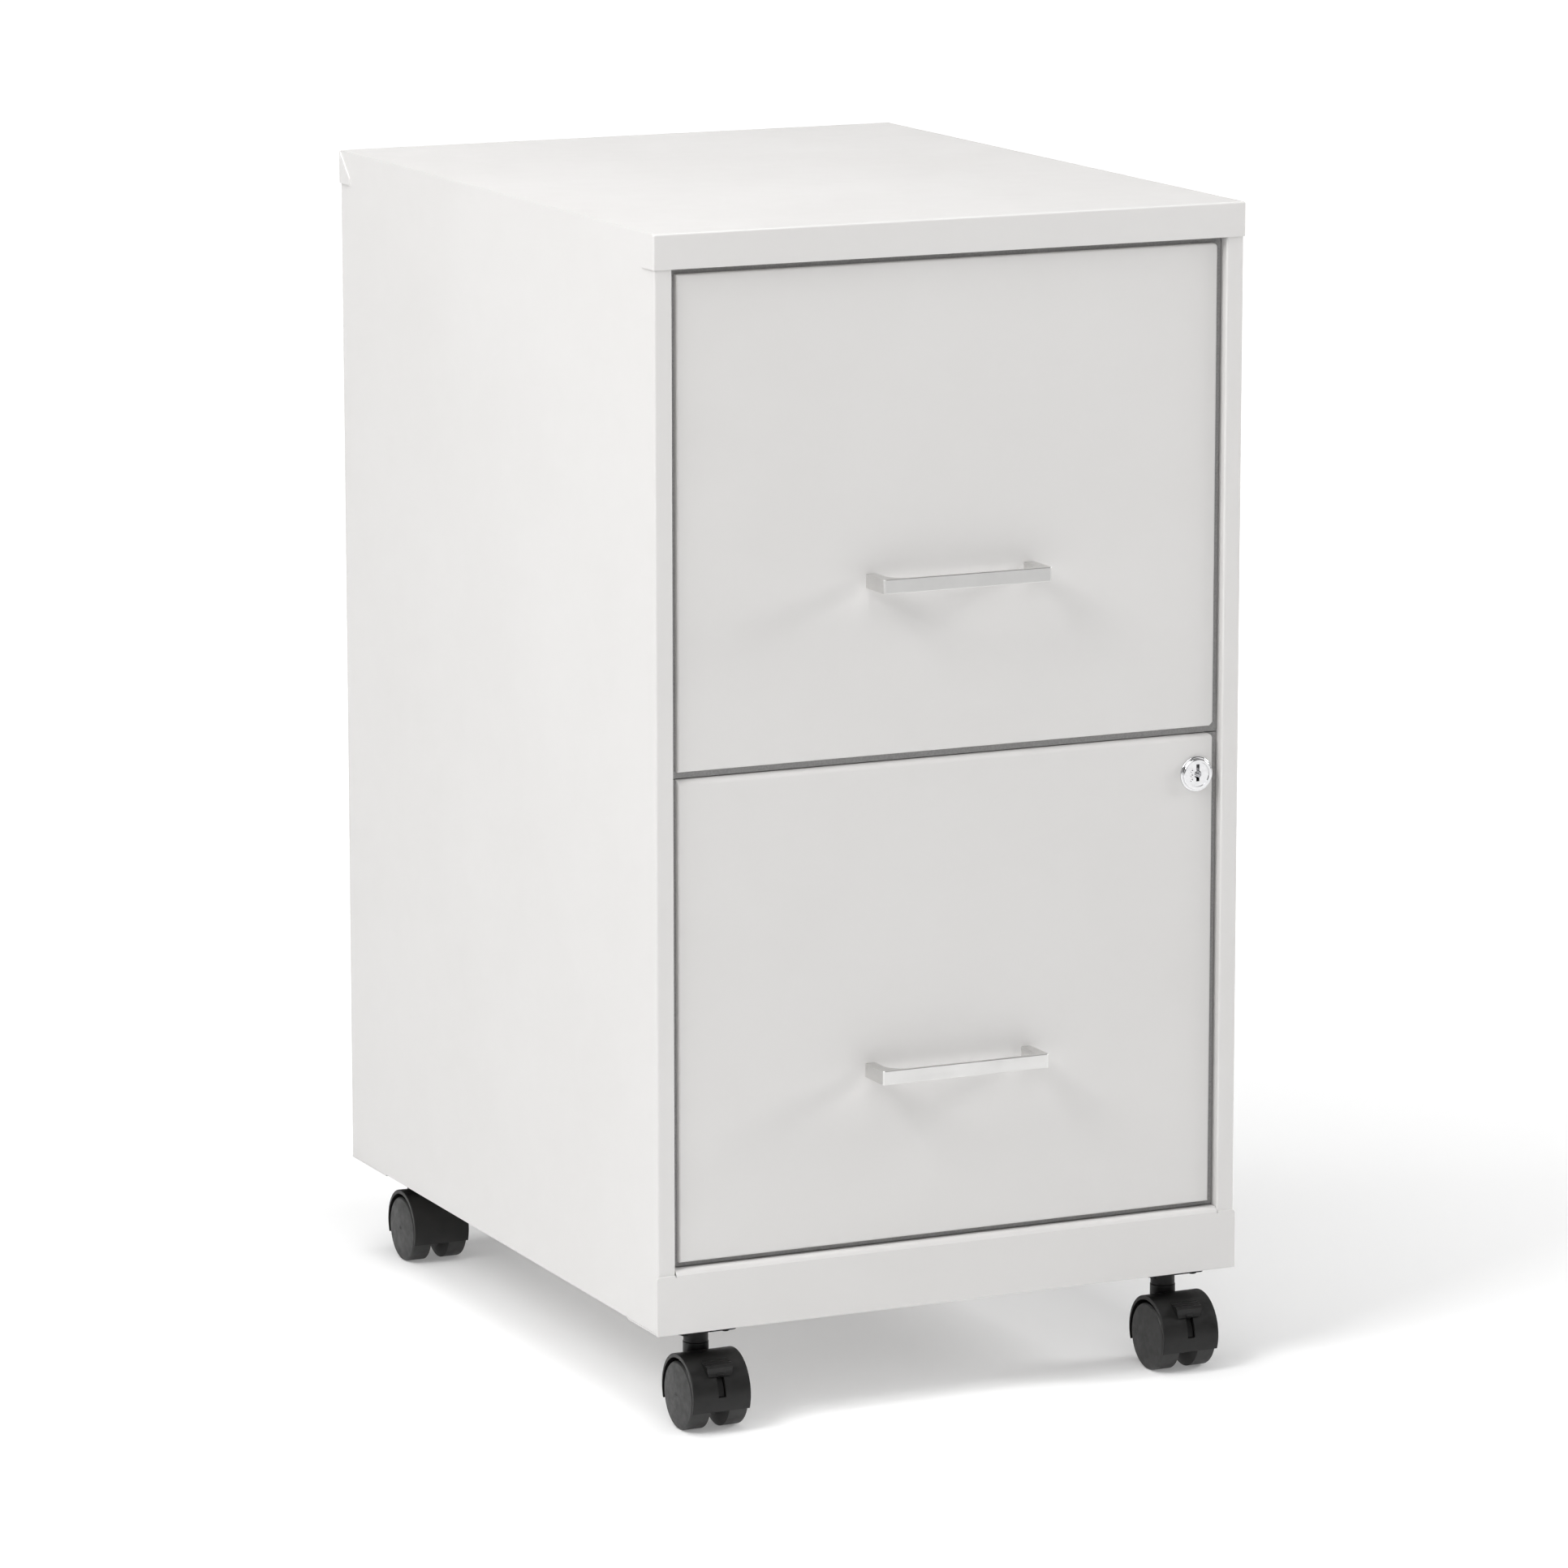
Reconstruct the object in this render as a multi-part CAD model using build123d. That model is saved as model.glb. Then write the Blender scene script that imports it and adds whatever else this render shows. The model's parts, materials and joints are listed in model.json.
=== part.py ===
from build123d import *
import os
from math import cos, radians, sin

# Two-drawer steel filing cabinet on four twin-wheel casters. Millimetres.
# Inside this file x runs across the cabinet from its middle, y runs back from the front plane
# and z runs up from the underside of the body. save() moves every piece to the final frame:
# origin on the floor, under the middle of the whole outline, +Z up, drawers opening to -Y.

# ---- body -------------------------------------------------------------------------------
WIDTH = 363.0
DEPTH = 461.0
HEIGHT = 615.0
SHEET = 0.8
BEND = 1.2
HALF = WIDTH / 2
SKIN = HALF - SHEET              # outer face of the side panels, under the cap's tabs
SKIN_IN = SKIN - SHEET           # inner face of the side panels
POST_EDGE = 170.0                # inner edge of the front posts
POST_LIP = 17.5                  # how far back the posts are folded
REAR_FLANGE = 20.0
BACK_INSET = 0.6
SHEET_EDGE = 0.35                # rounding of the sheet edges that show
OVER = 1.0                       # how far cutting shapes run past the faces that they cut

CAP_BAND = 19.6
TAB_DEPTH = 16.5
TAB_STEP = 4.0
CAP_ROUND = 1.2
CAP_LIP = 16.0
CAP_LIP_HALF = 168.5
CAP_HEM = 20.0

WING_TOP = 34.1
WING_ROUND = 2.2
BASE_ROLL_TOP = 36.6
BASE_ROLL = 3.7
BASE_ROLL_DEPTH = 13.0
BASE_ROLL_DROP = 9.0
BASE_MIDDLE_HALF = 169.7
BASE_RELIEF = 0.6
BASE_RELIEF_DROP = 1.2
BASE_FLANGE = 43.0
PAN_FRONT = 18.0
PAN_UPSTAND = 15.0
REAR_STRIP_FRONT = 405.0

# ---- drawer suspension --------------------------------------------------------------------
RAIL_SHEET = 1.0
RAIL_OUTER = 169.2
RAIL_LIP = 158.7
RAIL_HALF = 9.0                  # half the height of a cabinet rail
RAIL_FRONT = 22.0
RAIL_BACK = 440.0
RUNNER_WEB = 156.0               # outer face of the drawer side, where its runner is fixed
RUNNER_EDGE = 166.0
RUNNER_TOP = 5.6
RUNNER_BOTTOM = -6.0
RUNNER_BACK = 432.0
GLIDE_GAP = 0.3
GLIDE_FRONT = 24.0
GLIDE_LENGTH = 50.0
GLIDE_RAMP = 2.0
SHOE_FRONT = 405.0
SHOE_LENGTH = 28.0
SHOE_INNER = 157.3
SHOE_OUTER = 166.7
SUPPORT_Y = (52.0, 396.0)        # middle of each upright support
SUPPORT_WIDTH = 26.0
SUPPORT_FOOT = 9.0
SUPPORT_BOTTOM = 18.0
SUPPORT_TOP = 590.0
RAIL_SCREW_RADIUS = 2.0
RAIL_SCREW_HEAD = 3.6
RAIL_SCREW_HEAD_THICK = 1.1
RAIL_SCREW_TAIL = 3.5

# ---- drawers ------------------------------------------------------------------------------
FRONT_FACE = 4.3                 # drawer fronts sit this far behind the front plane
FRONT_PAN = 14.0
FRONT_HALF = 166.0
LOWER_FRONT_BOTTOM = 39.9
LOWER_FRONT_TOP = 312.9
UPPER_FRONT_BOTTOM = 317.2
UPPER_FRONT_TOP = 591.9
FRONT_EDGE = 1.1
FRONT_ROLL = 3.7
LOCK_CORNER_CHAMFER = 2.0
LOCK_CORNER_ROUND = 3.5
UPPER_CORNER_ROUND = 2.5
DRAWER_PITCH = UPPER_FRONT_BOTTOM - LOWER_FRONT_BOTTOM
FRONT_SPANS = ((LOWER_FRONT_BOTTOM, LOWER_FRONT_TOP), (UPPER_FRONT_BOTTOM, UPPER_FRONT_TOP))
LOCK_CORNERS = (
    {"rounded": LOCK_CORNER_ROUND},
    {"rounded": UPPER_CORNER_ROUND, "chamfered": LOCK_CORNER_CHAMFER},
)
SEAL_FRONT = 7.6                 # foam strip round each front, set back in the gap
SEAL_DEPTH = 3.0
SEAL_HALF = 169.6
SEAL_GAP = 0.5
SEAL_SPANS = (
    (BASE_ROLL_TOP + SEAL_GAP, LOWER_FRONT_TOP),
    (LOWER_FRONT_TOP + SEAL_GAP, HEIGHT - CAP_BAND - SEAL_GAP),
)
INNER_GAP = 0.06
INNER_FLANGE = 8.0
TRAY_BOTTOM = 42.0
TRAY_TOP = 279.0
TRAY_HEM_OUT = 5.0
TRAY_HEM_DROP = 8.0
TRAY_BACK = 434.0
RUNNER_Z = 60.0
BACK_TOP = 236.0
BACK_FLANGE = 12.0

HANDLE_HALF = 51.8
HANDLE_REACH = 23.0
HANDLE_HEIGHT = 8.0
HANDLE_BAR = 2.3
HANDLE_FOOT = 6.2
HANDLE_CORNER = 1.5
HANDLE_INNER_ROUND = 10.5
HANDLE_EDGE = 0.4
HANDLE_Z = (138.5, 415.7)        # lower and upper
HANDLE_SCREW_X = 48.7
HANDLE_SCREW_RADIUS = 1.5
HANDLE_SCREW_DEPTH = 9.0
HANDLE_SCREW_HEAD = 3.2
HANDLE_SCREW_HEAD_THICK = 2.2
HANDLE_ACCESS_RADIUS = 6.0

# ---- lock ---------------------------------------------------------------------------------
LOCK_X = 155.4
LOCK_Z = 290.3
LOCK_BEZEL = 10.2
LOCK_BEZEL_THICK = 1.4
LOCK_RING = 9.0
LOCK_REACH = 2.9
LOCK_RING_EDGE = 0.7
LOCK_BARREL = 8.6
LOCK_BORE = 7.05
LOCK_PLUG = 7.0
LOCK_PLUG_SUNK = 0.5
KEY_SLOT_HALF = 1.0
KEY_SLOT_REACH = (-4.0, 5.8)      # below and above the plug's axis
KEY_EYE = 2.25
KEY_SLOT_DEPTH = 9.0
LOCK_DIMPLE = 1.1
LOCK_DIMPLE_X = -4.1
LOCK_DIMPLE_STEP = 2.65
LOCK_DIMPLE_DEPTH = 0.8
LOCK_NUT_FLATS = 21.0
LOCK_NUT_THICK = 3.0
LOCK_INNER_HOLE = 10.5
LOCK_BARREL_BACK = 18.4
CAM_FRONT = 18.8
CAM_THICK = 2.0
CAM_HALF = 6.5
CAM_LENGTH = 21.0
CAM_TIP_HALF = 4.5
CAM_SQUARE = 6.0
CAM_SCREW_HEAD = 4.0
CAM_SCREW_RADIUS = 2.0

# ---- casters ------------------------------------------------------------------------------
CASTER_X = 147.5
CASTER_Y = (24.0, 433.8)
FLOOR_DROP = 57.3                # from the body's underside to the floor
CASTER_PLATE = 35.5
CASTER_PLATE_THICK = 2.5
CASTER_PLATE_ROUND = 3.0
CASTER_CUP_RADIUS = 7.0
CASTER_CUP_END = -11.3
CASTER_SCREW_PITCH = 12.5
CASTER_SCREW_RADIUS = 2.0
CASTER_SCREW_HOLE = 2.2
CASTER_SCREW_HEAD = 2.9
CASTER_SCREW_DOME = 1.7
CASTER_SCREW_ROUND = 1.5
CASTER_SCREW_TOP = 6.0
KINGPIN_RADIUS = 3.5
KINGPIN_END = -19.5
RUNNING_GAP = 0.05
TRAIL = 14.3
WHEEL_RADIUS = 19.5
AXLE_Z = WHEEL_RADIUS - FLOOR_DROP
AXLE_RADIUS = 2.5
AXLE_HALF = 14.0
WHEEL_INNER = 2.6
WHEEL_CONE_RADIUS = 13.0
WHEEL_TREAD = (5.9, 16.0)        # from the caster's middle
WHEEL_RIM_X = 17.5
WHEEL_RIM_RADIUS = 17.8
WHEEL_DOME_X = 18.3
WHEEL_BORE_END = 14.4
HOOD_RADIUS = 22.0
HOOD_RISE = 1.9                  # the hood's outer circle is centred this far above the axle
HOOD_ROOM = 20.7
HOOD_ROOM_RISE = 0.8
HOOD_HALF = 17.6
HOOD_SKIRT = 6.0                 # how far the hood reaches below the axle
HOOD_EDGE = 0.5
HOOD_WEB_HALF = 2.2
NECK_RADIUS = 7.3
NECK_TOP = -11.6
NECK_BOTTOM = -34.0
BRAKE_SLOT_HALF = 2.3
BRAKE_SLOT = (2.3, 20.4)         # height range above the axle
BRAKE_SLOT_BACK = 12.0
BRAKE_POCKET_HALF = 1.4
BRAKE_POCKET_HUB = 5.4
BRAKE_POCKET_ANGLES = (-45.0, 62.0)
BRAKE_POCKET_RADIUS = 20.5
BRAKE_POCKET_RIM = 18.2          # beyond this the pocket is as wide as the slot
BRAKE_TONGUE_HALF = 1.1
BRAKE_SHOE_HALF = 2.0            # curved shoe that closes the slot from inside
BRAKE_SHOE_ANGLES = (-14.0, 52.0)
BRAKE_SHOE = (18.5, 20.2)
BRAKE_EYE = 4.8
BRAKE_STEM_HALF = 2.0
BRAKE_STEM_ANGLES = (37.0, 52.0)  # measured up from straight ahead of the axle
BRAKE_STEM_OUTER = 24.6
BRAKE_ROOT_ANGLES = (36.0, 66.0)  # where the lever's head meets the hood
BRAKE_LIP_ANGLES = (44.5, 48.0)
BRAKE_HEAD_INNER = 23.85
BRAKE_LIP = 27.0
BRAKE_HEAD_HALF = (7.2, 8.4)     # at the head's lower edge and at its top
BRAKE_HEAD_ROUND = 1.2
BRAKE_SCOOP = 0.55
BRAKE_GRIPS = (0.3, 0.55, 0.8)   # places of the grip grooves along the ramp
BRAKE_GRIP = 0.35

# ---- final frame --------------------------------------------------------------------------
HANDLE_FRONT = FRONT_FACE - HANDLE_REACH
FRAME_Y = -(DEPTH + HANDLE_FRONT) / 2


def save(node, shape):
    """Writes one piece, moved from the working coordinates to the final frame."""
    export_step(Pos(0, FRAME_Y, FLOOR_DROP) * shape, f"parts/{node}.step")


# ---- shared shapes --------------------------------------------------------------------------
def block(x, y, z):
    """Box between pairs of coordinates."""
    size = [b - a for a, b in (x, y, z)]
    return Pos(*[(a + b) / 2 for a, b in (x, y, z)]) * Box(*size)


def rod(start, end, radius):
    """Round bar from one point to another."""
    along = Vector(*end) - Vector(*start)
    return Plane(origin=start, z_dir=along) * Pos(0, 0, along.length / 2) * Cylinder(radius, along.length)


def prism(face, along, start, end):
    """Cross-section carried along an axis, between two coordinates."""
    if along == "y":
        return extrude(Plane.XZ.offset(-end) * face, amount=end - start)
    plane = Plane.YZ if along == "x" else Plane.XY
    return extrude(plane.offset(start) * face, amount=end - start)


def folded(path, bends=BEND, thick=SHEET):
    """Cross-section of a folded sheet that lies on the left of its path."""
    line = FilletPolyline(*path, radius=bends)
    return make_face(offset(line, amount=thick, side=Side.LEFT))


def outline(*points):
    """Straight-sided face."""
    return make_face(Polyline(*points, close=True))


def mirrored(shape):
    """The left-hand copy of a right-hand piece."""
    return mirror(shape, about=Plane.YZ)


def both_sides(shape):
    """A right-hand piece with its left-hand copy, as separate solids."""
    return Compound(children=[*shape.solids(), *mirrored(shape).solids()])


# ---- cabinet --------------------------------------------------------------------------------
def side_panel():
    """Right side: front post with its lip, the side itself and the rear flange, in one sheet."""
    path = [
        (POST_EDGE, POST_LIP),
        (POST_EDGE, SHEET),
        (SKIN, SHEET),
        (SKIN, DEPTH - 2 * SHEET),
        (SKIN - REAR_FLANGE, DEPTH - 2 * SHEET),
    ]
    panel = prism(folded(path), "z", SHEET, HEIGHT - SHEET)
    hem = panel.edges().filter_by(Axis.Y).group_by(Axis.Z)[0].sort_by(Axis.X)[-1]
    return fillet(hem, SHEET_EDGE)


def top_panel():
    """Cap with a deep band at the front and back, and mitred tabs that wrap the four corners."""
    band_bottom = HEIGHT - CAP_BAND
    outer = block((-HALF, HALF), (0, DEPTH), (band_bottom, HEIGHT + BEND))
    outer = fillet(outer.edges().filter_by(Axis.Z), CAP_ROUND)
    outer &= block((-HALF, HALF), (0, DEPTH), (band_bottom, HEIGHT))
    outer = fillet(outer.faces().sort_by(Axis.Z)[-1].edges(), CAP_ROUND)
    inner = block((-SKIN, SKIN), (SHEET, DEPTH - SHEET), (band_bottom - OVER, HEIGHT - SHEET))
    inner = fillet(inner.edges().filter_by(Axis.Z), CAP_ROUND - SHEET)
    shell = outer - inner
    gap = outline(
        (SHEET, HEIGHT + OVER),
        (SHEET, HEIGHT),
        (TAB_DEPTH, band_bottom + TAB_STEP),
        (TAB_DEPTH, band_bottom - OVER),
        (DEPTH - TAB_DEPTH, band_bottom - OVER),
        (DEPTH - TAB_DEPTH, band_bottom + TAB_STEP),
        (DEPTH - SHEET, HEIGHT),
        (DEPTH - SHEET, HEIGHT + OVER),
    )
    shell -= prism(gap, "x", SKIN, HALF + OVER) + prism(gap, "x", -HALF - OVER, -SKIN)
    lip = block((-CAP_LIP_HALF, CAP_LIP_HALF), (SHEET, CAP_LIP), (band_bottom, band_bottom + SHEET))
    hem = block((SKIN_IN - SHEET, SKIN_IN), (CAP_HEM, DEPTH - CAP_HEM), (band_bottom, HEIGHT - SHEET))
    return shell + lip + hem + mirrored(hem)


def base_panel():
    """Front bottom rail: flat wings over the posts, a rolled top edge between them and a flange below."""
    flange = block((-SKIN, SKIN), (SHEET, BASE_FLANGE), (0, SHEET))
    wing = block((-HALF, HALF), (0, SHEET), (0, WING_TOP))
    wing = fillet(wing.edges().filter_by(Axis.Y).sort_by(Axis.Z)[-2:], WING_ROUND)
    wing = fillet(wing.faces().sort_by(Axis.Y)[0].edges(), SHEET_EDGE)
    roll_path = [
        (0, SHEET),
        (0, BASE_ROLL_TOP),
        (BASE_ROLL_DEPTH, BASE_ROLL_TOP),
        (BASE_ROLL_DEPTH, BASE_ROLL_TOP - BASE_ROLL_DROP),
    ]
    roll_section = make_face(
        offset(FilletPolyline(*roll_path, radius=[BASE_ROLL, BEND]), amount=SHEET, side=Side.RIGHT)
    )
    roll = prism(roll_section, "x", -BASE_MIDDLE_HALF, BASE_MIDDLE_HALF)
    relief = block(
        (BASE_MIDDLE_HALF, BASE_MIDDLE_HALF + BASE_RELIEF),
        (-OVER, SHEET + OVER),
        (WING_TOP - BASE_RELIEF_DROP, WING_TOP + OVER),
    )
    front = wing - relief - mirrored(relief)
    return flange + front + roll - caster_screw_holes()


def bottom_pan():
    """Floor of the cabinet, with upstands along both sides."""
    floor_path = [
        (-SKIN_IN, SHEET + PAN_UPSTAND),
        (-SKIN_IN, SHEET),
        (SKIN_IN, SHEET),
        (SKIN_IN, SHEET + PAN_UPSTAND),
    ]
    return prism(folded(floor_path), "y", PAN_FRONT, DEPTH - 3 * SHEET - BEND) - caster_screw_holes()


def rear_base_strip():
    """Doubler under the back of the floor, level with the front flange, for the rear casters."""
    back = DEPTH - 2 * SHEET
    return block((-SKIN, SKIN), (REAR_STRIP_FRONT, back), (0, SHEET)) - caster_screw_holes()


def back_panel():
    """Flat back sheet, over the rear flanges and under the cap's rear band."""
    half = SKIN - BACK_INSET
    return block((-half, half), (DEPTH - 2 * SHEET, DEPTH - SHEET), (0, HEIGHT - SHEET))


# ---- suspension -----------------------------------------------------------------------------
def rail_screw_places():
    """Where the right-hand rails are fixed to their supports: (y, z) of each screw."""
    return [(y, RUNNER_Z + level * DRAWER_PITCH) for y in SUPPORT_Y for level in (0, 1)]


def rail_support(y):
    """Upright hat-section channel that holds the right-hand rails off the side panel."""
    near, far = y - SUPPORT_WIDTH / 2, y + SUPPORT_WIDTH / 2
    web = RAIL_OUTER + SHEET
    path = [
        (SKIN_IN, near - SUPPORT_FOOT),
        (SKIN_IN, near),
        (web, near),
        (web, far),
        (SKIN_IN, far),
        (SKIN_IN, far + SUPPORT_FOOT),
    ]
    channel = prism(folded(path), "z", SUPPORT_BOTTOM, SUPPORT_TOP)
    for place in rail_screw_places():
        channel -= rod((RAIL_OUTER - OVER, *place), (SKIN_IN, *place), RAIL_SCREW_RADIUS)
    return channel


def cabinet_rail(level):
    """Right-hand C-section rail for the lower (0) or upper (1) drawer."""
    z = RUNNER_Z + level * DRAWER_PITCH
    path = [
        (RAIL_LIP, z - RAIL_HALF),
        (RAIL_OUTER, z - RAIL_HALF),
        (RAIL_OUTER, z + RAIL_HALF),
        (RAIL_LIP, z + RAIL_HALF),
    ]
    rail = prism(folded(path, thick=RAIL_SHEET), "y", RAIL_FRONT, RAIL_BACK)
    for y in SUPPORT_Y:
        rail -= rod((RAIL_OUTER - 2 * RAIL_SHEET, y, z), (RAIL_OUTER + OVER, y, z), RAIL_SCREW_RADIUS)
    return rail


def rail_screws():
    """Low-headed rivet screws through the rails into their supports, on both sides."""
    web = RAIL_OUTER - RAIL_SHEET
    screws = []
    for y, z in rail_screw_places():
        head = rod((web - RAIL_SCREW_HEAD_THICK, y, z), (web, y, z), RAIL_SCREW_HEAD)
        head = fillet(head.edges().sort_by(Axis.X)[0], RAIL_SCREW_HEAD_THICK / 2)
        screws.append(head + rod((web, y, z), (web + RAIL_SCREW_TAIL, y, z), RAIL_SCREW_RADIUS))
    return both_sides(Compound(children=screws))


def cabinet_glides():
    """Nylon blocks at the front of the rails. The runners slide on them, and the shoes stop at them."""
    glides = []
    for level in (0, 1):
        z = RUNNER_Z + level * DRAWER_PITCH
        top = z + RUNNER_TOP - RAIL_SHEET - GLIDE_GAP
        bottom = z - RAIL_HALF + RAIL_SHEET
        glide = block(
            (RAIL_LIP + GLIDE_GAP, RAIL_OUTER - RAIL_SHEET),
            (GLIDE_FRONT, GLIDE_FRONT + GLIDE_LENGTH),
            (bottom, top),
        )
        ends = glide.edges().filter_by(Axis.X).group_by(Axis.Z)[-1]
        glide = chamfer(ends, GLIDE_RAMP)
        for y in SUPPORT_Y:
            recess = RAIL_OUTER - RAIL_SHEET - RAIL_SCREW_HEAD_THICK
            glide -= rod((recess, y, z), (RAIL_OUTER, y, z), RAIL_SCREW_HEAD)
        glides.append(glide)
    return both_sides(Compound(children=glides))


def drawer_runner(level):
    """Right-hand L-section runner on the drawer's side."""
    z = RUNNER_Z + level * DRAWER_PITCH
    path = [
        (RUNNER_EDGE, z + RUNNER_TOP),
        (RUNNER_WEB, z + RUNNER_TOP),
        (RUNNER_WEB, z + RUNNER_BOTTOM),
    ]
    return prism(folded(path, thick=RAIL_SHEET), "y", RAIL_FRONT, RUNNER_BACK)


def drawer_glides(level):
    """Nylon shoes at the back of both runners, sliding inside the cabinet's rails."""
    z = RUNNER_Z + level * DRAWER_PITCH
    half = RAIL_HALF - RAIL_SHEET - GLIDE_GAP
    shoe = block((SHOE_INNER, SHOE_OUTER), (SHOE_FRONT, SHOE_FRONT + SHOE_LENGTH), (z - half, z + half))
    shoe = chamfer(shoe.edges().filter_by(Axis.X), GLIDE_RAMP / 2)
    return both_sides(shoe - drawer_runner(level))


# ---- drawers --------------------------------------------------------------------------------
def front_outline(bottom, top, inset, chamfered=0.0, rounded=0.0):
    """Face of a drawer front. One corner on the lock's side may be cut off, and one rounded."""
    low, high, half = bottom + inset, top - inset, FRONT_HALF - inset
    face = Pos(0, (low + high) / 2) * Rectangle(2 * half, high - low)
    if chamfered:
        corner = face.vertices().sort_by(Axis.Y)[:2].sort_by(Axis.X)[-1]
        face = chamfer(corner, chamfered)
    if rounded:
        corner = face.vertices().sort_by(Axis.Y)[-2:].sort_by(Axis.X)[-1]
        face = fillet(corner, rounded)
    return face


def front_pan(bottom, top, roll, **corner):
    """Drawer front: a sheet pan, open at the back. roll is the radius along its top edge."""
    back = FRONT_FACE + FRONT_PAN
    outer = prism(front_outline(bottom, top, 0, **corner), "y", FRONT_FACE, back)
    inner = prism(front_outline(bottom, top, SHEET, **corner), "y", FRONT_FACE + SHEET, back + OVER)
    edges = outer.faces().sort_by(Axis.Y)[0].edges()
    if roll == FRONT_EDGE:
        return fillet(edges, FRONT_EDGE) - inner
    outer = fillet([e for e in edges if not is_top(e, top)], FRONT_EDGE)
    return outer - roll_cutter(top, roll, 0) - (inner - roll_cutter(top, roll, SHEET))


def is_top(edge, top):
    """True for the long edge along the top of a drawer front."""
    return abs(edge.center().Z - top) < SHEET and edge.length > FRONT_HALF


def roll_cutter(top, roll, inset):
    """What rounding the long top edge takes away."""
    y, z, radius = FRONT_FACE + inset, top - inset, roll - inset
    corner = block((-WIDTH, WIDTH), (y - OVER, y + radius), (z - radius, z + OVER))
    return corner - rod((-WIDTH, y + radius, z - radius), (WIDTH, y + radius, z - radius), radius)


def handle_screw_cuts(handle_z, y0, y1, radius):
    """Holes for the two handle screws between two depths."""
    ends = [((x, y0, handle_z), (x, y1, handle_z)) for x in (-HANDLE_SCREW_X, HANDLE_SCREW_X)]
    return Compound(children=[rod(a, b, radius) for a, b in ends])


def cut_all(shape, cutters):
    """Takes each solid of a group away from a shape."""
    for cutter in cutters.solids():
        shape -= cutter
    return shape


def drawer_front(level):
    """Lower (0) or upper (1) drawer front."""
    pan = front_pan(*FRONT_SPANS[level], (FRONT_ROLL, FRONT_EDGE)[level], **LOCK_CORNERS[level])
    pan = cut_all(pan, handle_screw_cuts(HANDLE_Z[level], 0, FRONT_PAN, HANDLE_SCREW_RADIUS))
    return pan if level else pan - along_lock(0, FRONT_PAN, LOCK_BARREL)


def drawer_seal(level):
    """Foam strip round the returned edge of a drawer front, which closes the gap beside it.

    The upper front's strip also closes the gap between the drawers, so the lower one has no top.
    """
    back = SEAL_FRONT + SEAL_DEPTH
    strip = block((-SEAL_HALF, SEAL_HALF), (SEAL_FRONT, back), SEAL_SPANS[level])
    cover = front_outline(*FRONT_SPANS[level], 0, **LOCK_CORNERS[level])
    return strip - prism(cover, "y", SEAL_FRONT - OVER, back + OVER)


def inner_front(level):
    """Shallow pan that closes the back of a drawer front. The tray is welded to it."""
    back = FRONT_FACE + FRONT_PAN
    front = back - INNER_FLANGE
    inset = SHEET + INNER_GAP
    corner = LOCK_CORNERS[level]
    outer = prism(front_outline(*FRONT_SPANS[level], inset, **corner), "y", front, back)
    hollow = front_outline(*FRONT_SPANS[level], inset + SHEET, **corner)
    pan = outer - prism(hollow, "y", front - OVER, back - SHEET)
    access = handle_screw_cuts(HANDLE_Z[level], back - 2 * SHEET, back + OVER, HANDLE_ACCESS_RADIUS)
    pan = cut_all(pan, access)
    if level:
        return pan
    reach = LOCK_INNER_HOLE
    notch_x, notch_z = (LOCK_X - reach, FRONT_HALF), (LOCK_Z - reach, LOCK_Z + reach)
    return pan - block(notch_x, (front - OVER, back + OVER), notch_z)


def drawer_tray(level):
    """Bottom and both high sides in one sheet. The outward hems carry hanging folders."""
    inside = RUNNER_WEB - SHEET
    hem = RUNNER_WEB + TRAY_HEM_OUT
    lift = level * DRAWER_PITCH
    low, high = TRAY_BOTTOM + SHEET + lift, TRAY_TOP + lift
    right = [(hem, high - TRAY_HEM_DROP), (hem, high), (inside, high), (inside, low)]
    left = [(-x, z) for x, z in reversed(right)]
    return prism(folded(right + left), "y", FRONT_FACE + FRONT_PAN, TRAY_BACK)


def drawer_back(level):
    """Rear wall between the tray's sides, with flanges turned forward and a stiffened top."""
    inside = RUNNER_WEB - SHEET
    lift = level * DRAWER_PITCH
    low, high = TRAY_BOTTOM + SHEET + BEND + lift, BACK_TOP + lift
    outer = block((-inside, inside), (TRAY_BACK - BACK_FLANGE, TRAY_BACK), (low, high))
    outer = fillet(outer.faces().sort_by(Axis.Y)[-1].edges().filter_by(Axis.Z), BEND)
    hollow = block(
        (-inside + SHEET, inside - SHEET),
        (TRAY_BACK - BACK_FLANGE - OVER, TRAY_BACK - SHEET),
        (low - OVER, high - SHEET),
    )
    return outer - hollow


def handle(z):
    """Flat bar pull: straight front, tight outer corners and wide curves into its two feet."""
    front = FRONT_FACE - HANDLE_REACH
    foot_inner = HANDLE_HALF - HANDLE_FOOT
    half = HANDLE_HEIGHT / 2
    outer = block((-HANDLE_HALF, HANDLE_HALF), (front, FRONT_FACE), (z - half, z + half))
    outer = fillet(outer.faces().sort_by(Axis.Y)[0].edges().filter_by(Axis.Z), HANDLE_CORNER)
    between = (front + HANDLE_BAR, FRONT_FACE + HANDLE_INNER_ROUND)
    gap = block((-foot_inner, foot_inner), between, (z - half - OVER, z + half + OVER))
    gap = fillet(gap.faces().sort_by(Axis.Y)[0].edges().filter_by(Axis.Z), HANDLE_INNER_ROUND)
    pull = outer - gap
    rim = [e for e in pull.edges() if abs(abs(e.center().Z - z) - half) < HANDLE_EDGE]
    rim = [e for e in rim if e.center().Y < FRONT_FACE - HANDLE_EDGE]
    pull = fillet(rim, HANDLE_EDGE)
    bores = handle_screw_cuts(z, FRONT_FACE - HANDLE_SCREW_DEPTH, FRONT_FACE + OVER, HANDLE_SCREW_RADIUS)
    return cut_all(pull, bores)


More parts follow.
